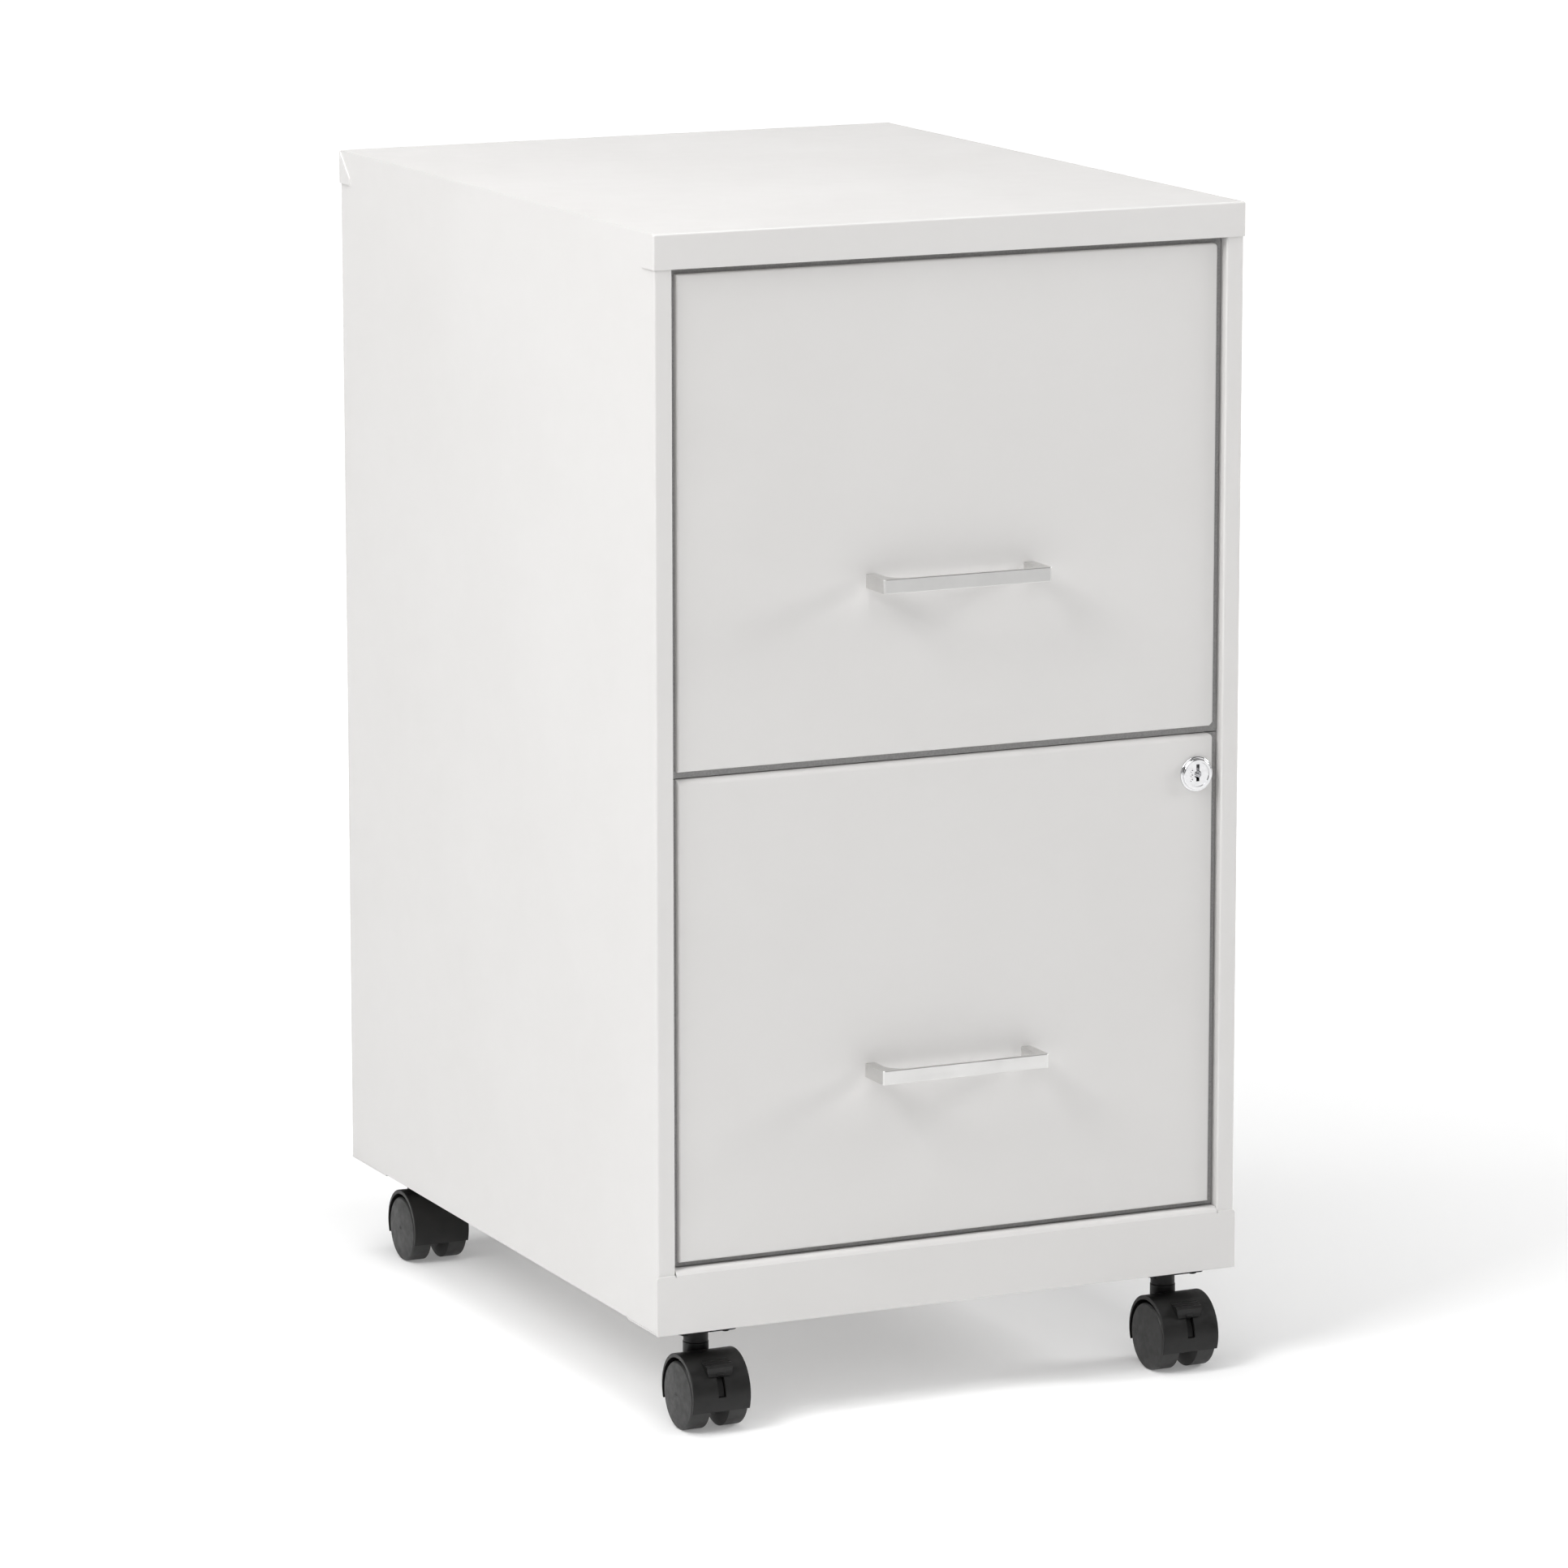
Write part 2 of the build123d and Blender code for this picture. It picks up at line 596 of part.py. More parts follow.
def handle_screws(z):
    """Pan-head screws from inside the drawer front into the handle's feet."""
    inside = FRONT_FACE + SHEET
    screws = []
    for x in (-HANDLE_SCREW_X, HANDLE_SCREW_X):
        head = rod((x, inside, z), (x, inside + HANDLE_SCREW_HEAD_THICK, z), HANDLE_SCREW_HEAD)
        head = fillet(head.edges().sort_by(Axis.Y)[-1], HANDLE_SCREW_HEAD_THICK / 2)
        shank = rod((x, FRONT_FACE - HANDLE_SCREW_DEPTH, z), (x, inside, z), HANDLE_SCREW_RADIUS)
        screws.append(head + shank)
    return Compound(children=screws)


# ---- lock -----------------------------------------------------------------------------------
def along_lock(start, end, radius):
    """Round bar on the lock's axis."""
    return rod((LOCK_X, start, LOCK_Z), (LOCK_X, end, LOCK_Z), radius)


def lock_housing():
    """Bezel, front ring and barrel of the cam lock."""
    bezel = along_lock(FRONT_FACE - LOCK_BEZEL_THICK, FRONT_FACE, LOCK_BEZEL)
    bezel = fillet(bezel.edges().sort_by(Axis.Y)[0], LOCK_RING_EDGE)
    ring = along_lock(FRONT_FACE - LOCK_REACH, FRONT_FACE, LOCK_RING)
    ring = fillet(ring.edges().sort_by(Axis.Y)[0], LOCK_RING_EDGE)
    barrel = along_lock(FRONT_FACE, LOCK_BARREL_BACK, LOCK_BARREL)
    return bezel + ring + barrel - along_lock(-FRONT_PAN, 2 * FRONT_PAN, LOCK_BORE)


def lock_nut():
    """Hexagon nut that clamps the housing behind the drawer front."""
    flats = RegularPolygon(LOCK_NUT_FLATS / 2, 6, major_radius=False)
    inside = FRONT_FACE + SHEET
    nut = prism(Pos(LOCK_X, LOCK_Z) * flats, "y", inside, inside + LOCK_NUT_THICK)
    nut &= block((LOCK_X - LOCK_NUT_FLATS, FRONT_HALF - SHEET), (0, DEPTH), (0, HEIGHT))
    return nut - along_lock(0, FRONT_PAN, LOCK_BARREL)


def cam_square(start, end):
    """Square bar on the lock's axis, which the cam fits."""
    half = CAM_SQUARE / 2
    return block((LOCK_X - half, LOCK_X + half), (start, end), (LOCK_Z - half, LOCK_Z + half))


def lock_plug():
    """Turning plug with the keyway, three index dimples and a square tail for the cam."""
    face = FRONT_FACE - LOCK_REACH + LOCK_PLUG_SUNK
    plug = along_lock(face, CAM_FRONT, LOCK_PLUG)
    plug += cam_square(CAM_FRONT, CAM_FRONT + CAM_THICK)
    slot_depth = (face - OVER, face + KEY_SLOT_DEPTH)
    slot_x = (LOCK_X - KEY_SLOT_HALF, LOCK_X + KEY_SLOT_HALF)
    plug -= block(slot_x, slot_depth, [LOCK_Z + reach for reach in KEY_SLOT_REACH])
    plug -= along_lock(*slot_depth, KEY_EYE)
    for step in (-1, 0, 1):
        x, z = LOCK_X + LOCK_DIMPLE_X, LOCK_Z + step * LOCK_DIMPLE_STEP
        plug -= rod((x, face - OVER, z), (x, face + LOCK_DIMPLE_DEPTH, z), LOCK_DIMPLE)
    return plug - along_lock(CAM_FRONT, DEPTH, CAM_SCREW_RADIUS)


def lock_cam():
    """Flat locking arm on the plug's square tail. It points up when the drawer is unlocked."""
    tip = outline(
        (LOCK_X - CAM_HALF, LOCK_Z),
        (LOCK_X + CAM_HALF, LOCK_Z),
        (LOCK_X + CAM_TIP_HALF, LOCK_Z + CAM_LENGTH),
        (LOCK_X - CAM_TIP_HALF, LOCK_Z + CAM_LENGTH),
    )
    arm = prism(tip, "y", CAM_FRONT, CAM_FRONT + CAM_THICK)
    arm += along_lock(CAM_FRONT, CAM_FRONT + CAM_THICK, CAM_HALF)
    return arm - cam_square(0, DEPTH)


def lock_cam_screw():
    """Screw that holds the cam on the plug's tail."""
    back = CAM_FRONT + CAM_THICK
    head = along_lock(back, back + 2 * SHEET, CAM_SCREW_HEAD)
    head = fillet(head.edges().sort_by(Axis.Y)[-1], SHEET)
    return head + along_lock(CAM_FRONT, back, CAM_SCREW_RADIUS)


# ---- casters --------------------------------------------------------------------------------
def caster_places():
    """Name and swivel axis of each caster."""
    rows = zip(("front", "rear"), CASTER_Y)
    sides = (("left", -CASTER_X), ("right", CASTER_X))
    return [(f"{row}_{side}", x, y) for row, y in rows for side, x in sides]


def caster_screw_places():
    """Middle of every screw, four to a caster."""
    pitch = (-CASTER_SCREW_PITCH, CASTER_SCREW_PITCH)
    return [(x + dx, y + dy) for _, x, y in caster_places() for dx in pitch for dy in pitch]


def caster_screw_holes():
    """Clearance holes for every caster screw, through the plates and the cabinet's floor."""
    holes = [
        rod((x, y, -CASTER_PLATE_THICK - OVER), (x, y, CASTER_SCREW_TOP), CASTER_SCREW_HOLE)
        for x, y in caster_screw_places()
    ]
    return Compound(children=holes)


def caster_plates():
    """Square fixing plates under the floor, each with a round cup that the hood's neck turns under."""
    plates = []
    for _, x, y in caster_places():
        plate = Pos(x, y, -CASTER_PLATE_THICK / 2) * Box(CASTER_PLATE, CASTER_PLATE, CASTER_PLATE_THICK)
        plate = fillet(plate.edges().filter_by(Axis.Z), CASTER_PLATE_ROUND)
        plate += rod((x, y, -CASTER_PLATE_THICK), (x, y, CASTER_CUP_END), CASTER_CUP_RADIUS)
        plates.append(plate - rod((x, y, CASTER_CUP_END - OVER), (x, y, OVER), KINGPIN_RADIUS))
    return Compound(children=plates) - caster_screw_holes()


def caster_kingpins():
    """Swivel pins, riveted into the plates."""
    pins = [rod((x, y, 0), (x, y, KINGPIN_END), KINGPIN_RADIUS) for _, x, y in caster_places()]
    return Compound(children=pins)


def caster_screws():
    """Domed screws that hold the caster plates to the floor."""
    screws = []
    under = -CASTER_PLATE_THICK
    for x, y in caster_screw_places():
        head = rod((x, y, under), (x, y, under - CASTER_SCREW_DOME), CASTER_SCREW_HEAD)
        head = fillet(head.edges().sort_by(Axis.Z)[0], CASTER_SCREW_ROUND)
        screws.append(head + rod((x, y, under), (x, y, CASTER_SCREW_TOP), CASTER_SCREW_RADIUS))
    return Compound(children=screws)


def on_axle(x0, x1, radius, rise=0.0):
    """Round bar along a caster's axle, or above it, in the caster's own coordinates."""
    return rod((x0, -TRAIL, AXLE_Z + rise), (x1, -TRAIL, AXLE_Z + rise), radius)


def about_axle(angle, reach):
    """Point (y, z) at an angle above straight ahead of the axle."""
    return (-TRAIL - reach * cos(radians(angle)), AXLE_Z + reach * sin(radians(angle)))


def wedge(angles, outer, half):
    """Sector about the axle between two angles above straight ahead."""
    far = [about_axle(angle, 2 * outer) for angle in angles]
    sector = prism(outline((-TRAIL, AXLE_Z), *far), "x", -half, half)
    return on_axle(-half, half, outer) & sector


def rim_wedge(angles, radii, half):
    """The part of such a sector between two radii."""
    inner, outer = radii
    return wedge(angles, outer, half) - on_axle(-half - OVER, half + OVER, inner)


def caster_hood(braked):
    """Swivelling hood: half-round shell, middle web on the axle and the neck on the kingpin."""
    outer = on_axle(-HOOD_HALF, HOOD_HALF, HOOD_RADIUS, HOOD_RISE)
    outer = fillet(outer.edges(), HOOD_EDGE)
    neck = rod((0, 0, NECK_TOP), (0, 0, NECK_BOTTOM), NECK_RADIUS)
    hood = outer + neck
    far = HOOD_HALF + OVER
    hood -= on_axle(HOOD_WEB_HALF, far, HOOD_ROOM, HOOD_ROOM_RISE)
    hood -= on_axle(-far, -HOOD_WEB_HALF, HOOD_ROOM, HOOD_ROOM_RISE)
    skirt = AXLE_Z - HOOD_SKIRT
    hood -= block((-far, far), (-2 * HOOD_RADIUS, 2 * HOOD_RADIUS), (skirt - HOOD_RADIUS, skirt))
    hood -= on_axle(-HOOD_WEB_HALF, HOOD_WEB_HALF, AXLE_RADIUS)
    hood -= rod((0, 0, 0), (0, 0, KINGPIN_END - GLIDE_GAP), KINGPIN_RADIUS + RUNNING_GAP)
    if not braked:
        return hood
    heights = [AXLE_Z + z for z in BRAKE_SLOT]
    slot_depth = (-TRAIL - 2 * HOOD_RADIUS, -TRAIL - BRAKE_SLOT_BACK)
    hood -= block((-BRAKE_SLOT_HALF, BRAKE_SLOT_HALF), slot_depth, heights)
    hood -= wedge(BRAKE_POCKET_ANGLES, BRAKE_POCKET_RADIUS, BRAKE_POCKET_HALF)
    hood -= rim_wedge(BRAKE_POCKET_ANGLES, (BRAKE_POCKET_RIM, BRAKE_POCKET_RADIUS), BRAKE_SLOT_HALF)
    return hood - on_axle(-BRAKE_POCKET_HALF, BRAKE_POCKET_HALF, BRAKE_POCKET_HUB)


def caster_axle():
    """Steel pin through the hood's web."""
    return on_axle(-AXLE_HALF, AXLE_HALF, AXLE_RADIUS)


def caster_wheel():
    """Right-hand wheel: flat tread, conical inner side, shallow dome outside, blind bore."""
    cone = (WHEEL_INNER, WHEEL_CONE_RADIUS)
    tread_start, tread_end = [(x, WHEEL_RADIUS) for x in WHEEL_TREAD]
    rim = (WHEEL_RIM_X, WHEEL_RIM_RADIUS)
    apex = (WHEEL_DOME_X, 0)
    bore = AXLE_RADIUS + RUNNING_GAP
    lines = [
        Line((WHEEL_INNER, bore), cone),
        Line(cone, tread_start),
        Line(tread_start, tread_end),
        TangentArc(tread_end, rim, tangent=(1, 0)),
        TangentArc(apex, rim, tangent=(0, 1)),
        Line(apex, (WHEEL_BORE_END, 0)),
        Line((WHEEL_BORE_END, 0), (WHEEL_BORE_END, bore)),
        Line((WHEEL_BORE_END, bore), (WHEEL_INNER, bore)),
    ]
    return Pos(0, -TRAIL, AXLE_Z) * revolve(make_face(lines), axis=Axis.X)


def brake_head():
    """Foot pad of the lever: a ramp out to a lip, scooped underneath, narrower at its lower edge."""
    low_root, high_root = [about_axle(angle, BRAKE_HEAD_INNER) for angle in BRAKE_ROOT_ANGLES]
    low_lip, high_lip = [about_axle(angle, BRAKE_LIP) for angle in BRAKE_LIP_ANGLES]
    middle = about_axle(sum(BRAKE_ROOT_ANGLES) / 2, BRAKE_HEAD_INNER)
    scoop = ((low_root[0] + low_lip[0]) / 2 + BRAKE_SCOOP, (low_root[1] + low_lip[1]) / 2)
    section = make_face([
        ThreePointArc(low_root, middle, high_root),
        Line(high_root, high_lip),
        Line(high_lip, low_lip),
        ThreePointArc(low_lip, scoop, low_root),
    ])
    low_half, high_half = BRAKE_HEAD_HALF
    head = prism(section, "x", -high_half, high_half)
    low, high = low_root[1] - BRAKE_SCOOP, high_root[1]
    front_view = outline((-low_half, low), (low_half, low), (high_half, high), (-high_half, high))
    front_view = fillet(front_view.vertices(), BRAKE_HEAD_ROUND)
    head &= prism(front_view, "y", low_lip[0] - BRAKE_LIP, 0)
    for share in BRAKE_GRIPS:
        y, z = [root + share * (lip - root) for root, lip in zip(high_root, high_lip)]
        head -= rod((-high_half, y, z), (high_half, y, z), BRAKE_GRIP)
    return head


def brake_lever():
    """Foot lever: an eye on the axle, a web out to the shoe, a stem through the slot and the head."""
    inner, outer = BRAKE_SHOE
    lever = on_axle(-BRAKE_TONGUE_HALF, BRAKE_TONGUE_HALF, BRAKE_EYE)
    lever += wedge(BRAKE_SHOE_ANGLES, outer, BRAKE_TONGUE_HALF)
    lever += rim_wedge(BRAKE_SHOE_ANGLES, BRAKE_SHOE, BRAKE_SHOE_HALF)
    lever += rim_wedge(BRAKE_STEM_ANGLES, (inner, BRAKE_STEM_OUTER), BRAKE_STEM_HALF)
    return lever + brake_head() - on_axle(-HOOD_HALF, HOOD_HALF, AXLE_RADIUS + RUNNING_GAP)


# ---- all pieces -----------------------------------------------------------------------------
os.makedirs("parts", exist_ok=True)

save("right_side_panel", side_panel())
save("left_side_panel", mirrored(side_panel()))
save("top_panel", top_panel())
save("back_panel", back_panel())
save("base_panel", base_panel())
save("bottom_pan", bottom_pan())
save("rear_base_strip", rear_base_strip())
save("rail_supports", both_sides(Compound(children=[rail_support(y) for y in SUPPORT_Y])))
save("rail_screws", rail_screws())
save("cabinet_glides", cabinet_glides())

for level, name in enumerate(("lower", "upper")):
    save(f"{name}_right_cabinet_rail", cabinet_rail(level))
    save(f"{name}_left_cabinet_rail", mirrored(cabinet_rail(level)))
    save(f"{name}_drawer_front", drawer_front(level))
    save(f"{name}_drawer_inner_front", inner_front(level))
    save(f"{name}_drawer_tray", drawer_tray(level))
    save(f"{name}_drawer_back", drawer_back(level))
    save(f"{name}_right_drawer_runner", drawer_runner(level))
    save(f"{name}_left_drawer_runner", mirrored(drawer_runner(level)))
    save(f"{name}_drawer_glides", drawer_glides(level))
    save(f"{name}_drawer_seal", drawer_seal(level))
    save(f"{name}_handle", handle(HANDLE_Z[level]))
    save(f"{name}_handle_screws", handle_screws(HANDLE_Z[level]))

save("lock_housing", lock_housing())
save("lock_nut", lock_nut())
save("lock_plug", lock_plug())
save("lock_cam", lock_cam())
save("lock_cam_screw", lock_cam_screw())

save("caster_plates", caster_plates())
save("caster_kingpins", caster_kingpins())
save("caster_screws", caster_screws())
for place, x, y in caster_places():
    at = Pos(x, y, 0)
    braked = place.startswith("front")
    save(f"{place}_caster_hood", at * caster_hood(braked))
    save(f"{place}_caster_axle", at * caster_axle())
    save(f"{place}_caster_right_wheel", at * caster_wheel())
    save(f"{place}_caster_left_wheel", at * mirrored(caster_wheel()))
    if braked:
        save(f"{place}_brake_lever", at * brake_lever())
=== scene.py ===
import json
from math import cos, radians, sin

import bpy
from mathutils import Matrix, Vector


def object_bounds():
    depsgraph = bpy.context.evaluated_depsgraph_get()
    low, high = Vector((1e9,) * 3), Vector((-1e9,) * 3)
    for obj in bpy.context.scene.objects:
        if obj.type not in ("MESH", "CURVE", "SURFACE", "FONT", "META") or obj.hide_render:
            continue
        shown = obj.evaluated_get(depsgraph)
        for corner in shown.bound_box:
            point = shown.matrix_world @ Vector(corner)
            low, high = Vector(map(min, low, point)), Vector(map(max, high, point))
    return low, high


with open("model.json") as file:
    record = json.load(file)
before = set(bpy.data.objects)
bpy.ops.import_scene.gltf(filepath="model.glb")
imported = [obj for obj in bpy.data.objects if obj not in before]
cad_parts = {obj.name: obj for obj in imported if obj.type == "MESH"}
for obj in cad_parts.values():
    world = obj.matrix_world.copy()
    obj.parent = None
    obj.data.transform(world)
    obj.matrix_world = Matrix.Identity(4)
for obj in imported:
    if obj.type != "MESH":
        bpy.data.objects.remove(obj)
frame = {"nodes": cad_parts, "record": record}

# Looks of a steel filing cabinet on casters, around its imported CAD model. Metres.
CAD_LOW, CAD_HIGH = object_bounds()
NODES = frame["nodes"]
SLOT_OF = {part["node"]: part["material_slot"] for part in frame["record"]["subparts"]}

# ---- camera and light -----------------------------------------------------------------------
SENSOR = 36.0                    # millimetres, as is the lens
LENS = 172.64
CAMERA_PLACE = (-1.81631, -3.91221, 1.16285)
CAMERA_TURN = (78.892, 0.037, -24.896)   # degrees; the last one is the heading
CAMERA_SIGHT = 100.0             # how far it sees

WORLD_LIGHT = 0.14
FLOOR_SIZE = 40.0
FLOOR_COLOUR = 0.80
FLOOR_CLOUD = 0.01               # how much darker its faint clouds are
GLOW_NEAR = 0.21                 # light from within the floor, close to the cabinet
GLOW_WIDE = 0.45                 # and further off on every side
GLOW_REACH = (1.0, 2.6)          # distances from the middle between which it grows
GLOW_BEHIND = 0.60               # what is added on the floor behind the cabinet, as the camera sees it
GLOW_BEHIND_START = (0.3, 2.2)   # distances behind the middle between which that grows
GLOW_BEHIND_SIDE = (1.2, 2.4)    # distances to each side between which it fades

# name, bearing from straight ahead of the drawers (left is negative), height angle, distance, size, watts
SOFTBOXES = (
    ("softbox_left", -67.0, 39.0, 2.6, 1.0, 36.0),
    ("softbox_right", 74.0, 20.0, 2.6, 0.7, 31.0),
    ("softbox_top", -100.0, 76.0, 2.4, 1.8, 45.0),
    ("softbox_front", -8.0, 34.0, 3.4, 1.8, 18.5),
)


# ---- node helpers ---------------------------------------------------------------------------
class Paint:
    """A Principled material with short calls for the nodes that vary it over the surface."""

    def __init__(self, name, **constants):
        self.mat = bpy.data.materials.new(name)
        self.mat.use_nodes = True
        self.tree = self.mat.node_tree
        self.shader = self.tree.nodes["Principled BSDF"]
        self.place = self.tree.nodes.new("ShaderNodeTexCoord").outputs["Object"]
        for socket, value in constants.items():
            self.shader.inputs[socket.replace("_", " ")].default_value = value

    def link(self, a, b):
        self.tree.links.new(a, b)

    def noise(self, scale, detail=3.0, roughness=0.55, stretch=(1, 1, 1)):
        """Fractal noise in object space, stretched along an axis by a small factor there."""
        mapping = self.tree.nodes.new("ShaderNodeMapping")
        mapping.inputs["Scale"].default_value = stretch
        texture = self.tree.nodes.new("ShaderNodeTexNoise")
        texture.inputs["Scale"].default_value = scale
        texture.inputs["Detail"].default_value = detail
        texture.inputs["Roughness"].default_value = roughness
        self.link(self.place, mapping.inputs["Vector"])
        self.link(mapping.outputs["Vector"], texture.inputs["Vector"])
        return texture.outputs["Fac"]

    def cells(self, scale):
        """Flat-coloured crystal cells."""
        texture = self.tree.nodes.new("ShaderNodeTexVoronoi")
        texture.inputs["Scale"].default_value = scale
        self.link(self.place, texture.inputs["Vector"])
        return texture.outputs["Color"]

    def spread(self, factor, low, high, start=0.3, end=0.7):
        """A number that runs from low to high as factor goes from start to end."""
        node = self.tree.nodes.new("ShaderNodeMapRange")
        for socket, value in zip(("From Min", "From Max", "To Min", "To Max"), (start, end, low, high)):
            node.inputs[socket].default_value = value
        self.link(factor, node.inputs["Value"])
        return node.outputs["Result"]

    def maths(self, operation, *terms, kind="ShaderNodeMath"):
        """One Math node on one or two numbers, or a VectorMath node with a number as its result."""
        node = self.tree.nodes.new(kind)
        node.operation = operation
        for term, socket in zip(terms, node.inputs):
            self.link(term, socket)
        return node.outputs["Value"]

    def turned(self, angle):
        """Object space turned about the upright axis, as separate X, Y and Z numbers."""
        mapping = self.tree.nodes.new("ShaderNodeMapping")
        mapping.inputs["Rotation"].default_value = (0, 0, angle)
        split = self.tree.nodes.new("ShaderNodeSeparateXYZ")
        self.link(self.place, mapping.inputs["Vector"])
        self.link(mapping.outputs["Vector"], split.inputs["Vector"])
        return split.outputs

    def tint(self, factor, dark, light, start=0.3, end=0.7):
        """A colour that runs from dark to light as factor goes from start to end."""
        node = self.tree.nodes.new("ShaderNodeValToRGB")
        for stop, place, colour in zip(node.color_ramp.elements, (start, end), (dark, light)):
            stop.position = place
            stop.color = (*colour, 1.0)
        self.link(factor, node.inputs["Fac"])
        return node.outputs["Color"]

    def colour(self, socket):
        self.link(socket, self.shader.inputs["Base Color"])

    def gloss(self, socket):
        self.link(socket, self.shader.inputs["Roughness"])

    def relief(self, *layers):
        """Stacked bumps, each given as (height socket, depth in metres, strength)."""
        normal = None
        for height, depth, strength in layers:
            node = self.tree.nodes.new("ShaderNodeBump")
            node.inputs["Distance"].default_value = depth
            node.inputs["Strength"].default_value = strength
            self.link(height, node.inputs["Height"])
            if normal:
                self.link(normal, node.inputs["Normal"])
            normal = node.outputs["Normal"]
        self.link(normal, self.shader.inputs["Normal"])


def grey(level, warm=0.0):
    """A grey that leans to yellow by warm."""
    return (level, level * (1 - warm / 2), level * (1 - warm))


# ---- materials ------------------------------------------------------------------------------
def white_enamel():
    """Satin powder coat with fine orange peel and a very slight unevenness in tone."""
    paint = Paint("white_enamel", IOR=1.5)
    cloud = paint.noise(7.0, 4.0)
    paint.colour(paint.tint(cloud, grey(0.69, 0.032), grey(0.71, 0.028)))
    paint.gloss(paint.spread(paint.noise(60.0, 3.0), 0.40, 0.48))
    paint.relief((paint.noise(650.0, 2.0), 0.0002, 0.05), (paint.noise(3.0, 1.0), 0.003, 0.04))
    return paint.mat


def zinc_steel():
    """Bright zinc plating with a faint spangle and lines drawn from front to back."""
    paint = Paint("zinc_steel", Metallic=1.0)
    spangle = paint.cells(180.0)
    paint.colour(paint.tint(spangle, (0.50, 0.51, 0.53), (0.64, 0.65, 0.66), 0.1, 0.9))
    paint.gloss(paint.spread(paint.noise(240.0, 4.0, stretch=(1, 0.05, 1)), 0.26, 0.42))
    paint.relief((paint.noise(900.0, 2.0, stretch=(1, 0.03, 1)), 0.0001, 0.12))
    return paint.mat


def white_nylon():
    """Natural nylon, slightly translucent and cloudy."""
    paint = Paint("white_nylon", Subsurface_Weight=0.15, Subsurface_Radius=(0.004, 0.003, 0.002), IOR=1.53)
    paint.colour(paint.tint(paint.noise(90.0), grey(0.76, 0.07), grey(0.82, 0.05)))
    paint.gloss(paint.spread(paint.noise(300.0), 0.42, 0.55))
    paint.relief((paint.noise(1500.0, 2.0), 0.0001, 0.1))
    return paint.mat


def lock_chrome():
    """Polished chrome with hairline handling marks."""
    paint = Paint("lock_chrome", Metallic=1.0)
    paint.colour(paint.tint(paint.noise(400.0), (0.74, 0.74, 0.75), (0.83, 0.83, 0.84)))
    paint.gloss(paint.spread(paint.noise(500.0, 5.0, stretch=(1, 1, 0.1)), 0.05, 0.13))
    paint.relief((paint.noise(2500.0, 3.0, stretch=(1, 1, 0.08)), 0.00005, 0.05))
    return paint.mat


def satin_chrome():
    """Brushed chrome plating of the bar pulls, drawn along their length."""
    paint = Paint("satin_chrome", Metallic=1.0)
    paint.colour(paint.tint(paint.noise(60.0), (0.70, 0.695, 0.685), (0.75, 0.745, 0.735)))
    paint.gloss(paint.spread(paint.noise(500.0, 4.0, stretch=(0.04, 1, 1)), 0.28, 0.38))
    paint.relief((paint.noise(1800.0, 2.0, stretch=(0.03, 1, 1)), 0.00005, 0.10))
    return paint.mat


def grey_foam():
    """Open-celled grey foam strip behind the gaps round the drawer fronts; its grey is painted shade,
    standing in for the shadow inside those gaps.
    """
    paint = Paint("grey_foam", Roughness=0.95, IOR=1.4)
    # painted shade: this grey stands in for the shadow deep in the gaps between the drawer fronts and the
    # frame
    paint.colour(paint.tint(paint.noise(900.0, 4.0), grey(0.26, 0.02), grey(0.34, 0.02)))
    paint.relief((paint.noise(1400.0, 3.0), 0.0004, 0.5))
    return paint.mat


def black_steel():
    """Black stoved paint on the caster plates and their screws."""
    paint = Paint("black_steel", IOR=1.5, Specular_IOR_Level=0.3)
    paint.colour(paint.tint(paint.noise(120.0), grey(0.004), grey(0.008, 0.05)))
    paint.gloss(paint.spread(paint.noise(200.0), 0.35, 0.5))
    paint.relief((paint.noise(900.0, 2.0), 0.0002, 0.15))
    return paint.mat


def black_nylon():
    """Fine-textured moulded nylon of the caster hoods and levers."""
    paint = Paint("black_nylon", IOR=1.5, Specular_IOR_Level=0.34)
    paint.colour(paint.tint(paint.noise(80.0), grey(0.007, 0.05), grey(0.011, 0.06)))
    paint.gloss(paint.spread(paint.noise(260.0, 4.0), 0.36, 0.5))
    paint.relief((paint.noise(3200.0, 2.0), 0.00008, 0.3), (paint.noise(120.0, 2.0), 0.0003, 0.06))
    return paint.mat


def wheel_nylon():
    """Slightly lighter nylon of the wheels, with faint turning marks."""
    paint = Paint("wheel_nylon", IOR=1.5)
    paint.colour(paint.tint(paint.noise(70.0), grey(0.013, 0.04), grey(0.018, 0.05)))
    paint.gloss(paint.spread(paint.noise(220.0, 4.0), 0.40, 0.56))
    paint.relief((paint.noise(2600.0, 2.0), 0.00008, 0.25), (paint.noise(90.0, 2.0), 0.0003, 0.05))
    return paint.mat


def floor_glow(paint):
    """Strength of the floor's own light, which grows outwards and more so behind the cabinet."""
    distance = paint.maths("LENGTH", paint.place, kind="ShaderNodeVectorMath")
    wide = paint.spread(distance, GLOW_NEAR, GLOW_WIDE, *GLOW_REACH)
    along = paint.turned(-radians(CAMERA_TURN[2]))
    behind = paint.spread(along["Y"], 0.0, GLOW_BEHIND, *GLOW_BEHIND_START)
    kept = paint.spread(paint.maths("ABSOLUTE", along["X"]), 1.0, 0.0, *GLOW_BEHIND_SIDE)
    return paint.maths("ADD", wide, paint.maths("MULTIPLY", behind, kept))


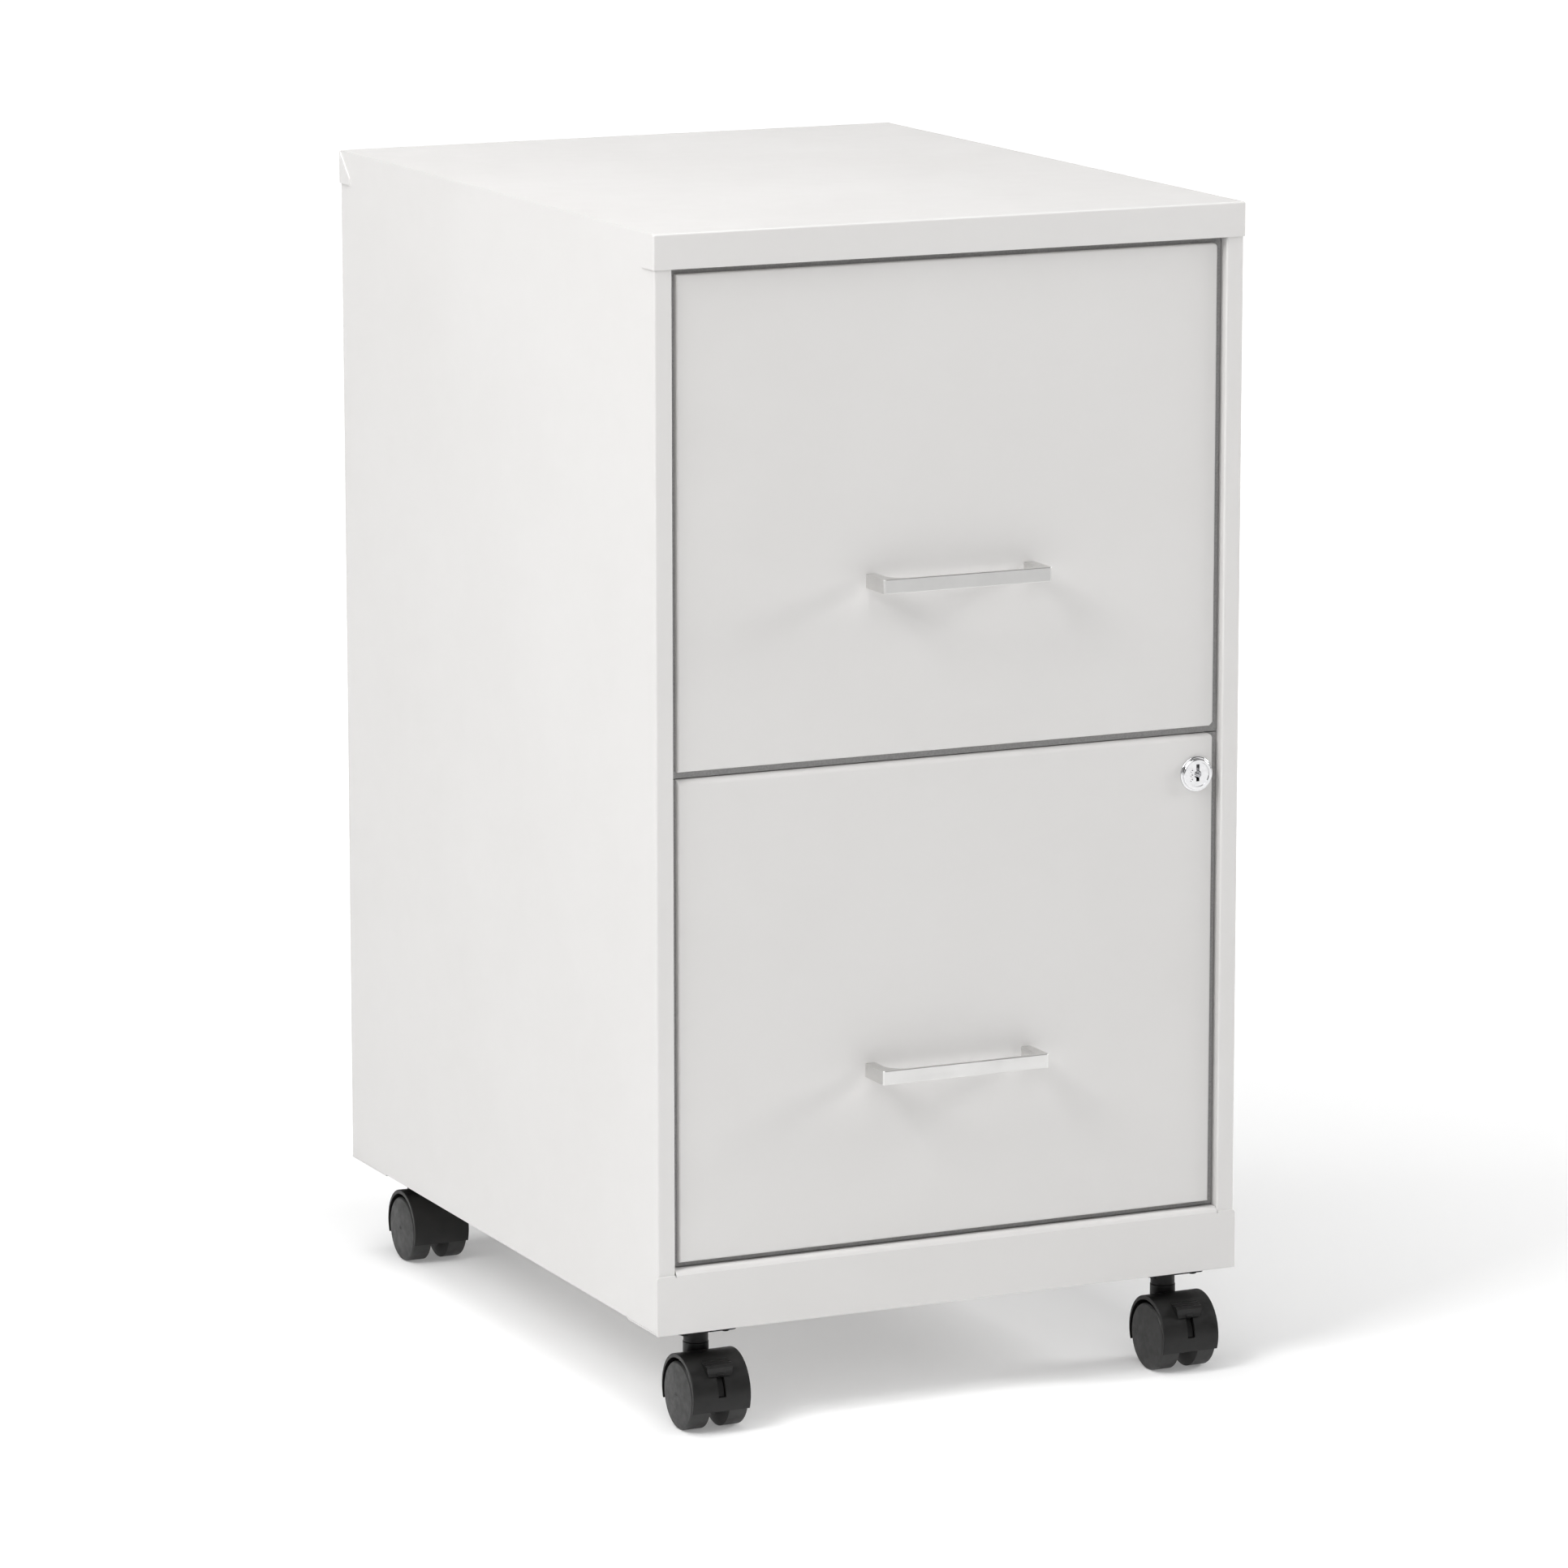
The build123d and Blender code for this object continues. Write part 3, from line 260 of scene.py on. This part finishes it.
def floor_white():
    """Pale studio floor, lit a little from within so that shadows on it stay light."""
    paint = Paint("floor_white", IOR=1.4, Roughness=0.9, Specular_IOR_Level=0.0, Emission_Color=(1, 1, 1, 1))
    paint.colour(paint.tint(paint.noise(0.8), grey(FLOOR_COLOUR - FLOOR_CLOUD), grey(FLOOR_COLOUR)))
    paint.link(floor_glow(paint), paint.shader.inputs["Emission Strength"])
    return paint.mat


# ---- stage ----------------------------------------------------------------------------------
def make_floor():
    bpy.ops.mesh.primitive_plane_add(size=FLOOR_SIZE)
    floor = bpy.context.object
    floor.name = "floor"
    floor.data.materials.append(floor_white())


def make_world():
    world = bpy.data.worlds.new("studio")
    world.use_nodes = True
    background = world.node_tree.nodes["Background"]
    background.inputs["Color"].default_value = (1, 1, 1, 1)
    background.inputs["Strength"].default_value = WORLD_LIGHT
    bpy.context.scene.world = world


def make_softboxes():
    """Square area lights that all face the middle of the cabinet."""
    middle = (CAD_LOW + CAD_HIGH) / 2
    for name, bearing, height, distance, size, watts in SOFTBOXES:
        across, up = radians(bearing), radians(height)
        away = Vector((sin(across) * cos(up), -cos(across) * cos(up), sin(up)))
        light = bpy.data.lights.new(name, "AREA")
        light.size = size
        light.energy = watts
        lamp = bpy.data.objects.new(name, light)
        lamp.location = middle + away * distance
        lamp.rotation_euler = away.to_track_quat("Z", "Y").to_euler()
        bpy.context.scene.collection.objects.link(lamp)


def make_camera():
    data = bpy.data.cameras.new("camera")
    data.sensor_width = SENSOR
    data.lens = LENS
    data.clip_end = CAMERA_SIGHT
    camera = bpy.data.objects.new("camera", data)
    camera.location = CAMERA_PLACE
    camera.rotation_euler = [radians(a) for a in CAMERA_TURN]
    bpy.context.scene.collection.objects.link(camera)
    bpy.context.scene.camera = camera
    bpy.context.scene.view_settings.view_transform = "Standard"


def dress():
    """Gives every CAD node the material of its slot, which is made by the function of that name."""
    finishes = (
        white_enamel, zinc_steel, white_nylon, lock_chrome, satin_chrome, grey_foam,
        black_steel, black_nylon, wheel_nylon,
    )
    made = {finish.__name__: finish() for finish in finishes}
    for name, node in NODES.items():
        node.data.materials.clear()
        node.data.materials.append(made[SLOT_OF[name]])


dress()
make_camera()
make_world()
make_softboxes()
make_floor()
